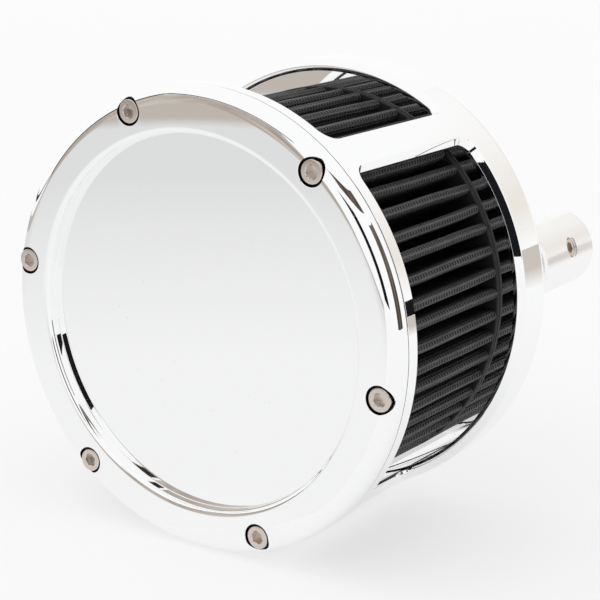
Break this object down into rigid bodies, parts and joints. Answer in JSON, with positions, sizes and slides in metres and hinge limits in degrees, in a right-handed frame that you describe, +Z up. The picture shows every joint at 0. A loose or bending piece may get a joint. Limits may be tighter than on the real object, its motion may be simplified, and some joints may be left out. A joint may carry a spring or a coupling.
{
  "type": "air cleaner assembly",
  "caption": "Round chrome air cleaner for a motorcycle throttle body: dished front cover, windowed housing, pleated filter and two breather spacers.",
  "frame": {"origin": "centre of the throttle bore on the housing's rear face", "axes": "+Y along the throttle bore, from the front cover back to the engine; +Z up; +X to the right seen from the front cover"},
  "size_m": [0.178, 0.1555, 0.178],
  "materials": {
    "chrome": "bright mirror chrome on machined aluminium",
    "spacer_chrome": "satin chrome, faint turning marks",
    "screw_steel": "stainless, rolled heads",
    "stack_aluminium": "turned aluminium",
    "seal_rubber": "matt black rubber",
    "filter_cap": "moulded black polyurethane",
    "filter_media": "black pleated gauze under a woven screen",
    "core_steel": "black coated sheet steel"
  },
  "bodies": {
    "root": {"housing": "chrome", "front_cover": "chrome", "cover_screws": "screw_steel", "cover_seal": "seal_rubber", "filter_front_cap": "filter_cap", "filter_rear_cap": "filter_cap", "filter_core": "core_steel", "filter_media": "filter_media", "velocity_stack": "stack_aluminium", "stack_screws": "screw_steel", "throttle_seal": "seal_rubber", "spacer_screws": "screw_steel", "breather_spacer_right": "spacer_chrome", "housing_seal_right": "seal_rubber", "head_seal_right": "seal_rubber", "port_screw_right": "screw_steel", "breather_spacer_left": "spacer_chrome", "housing_seal_left": "seal_rubber", "head_seal_left": "seal_rubber", "port_screw_left": "screw_steel"}
  },
  "joints": []
}
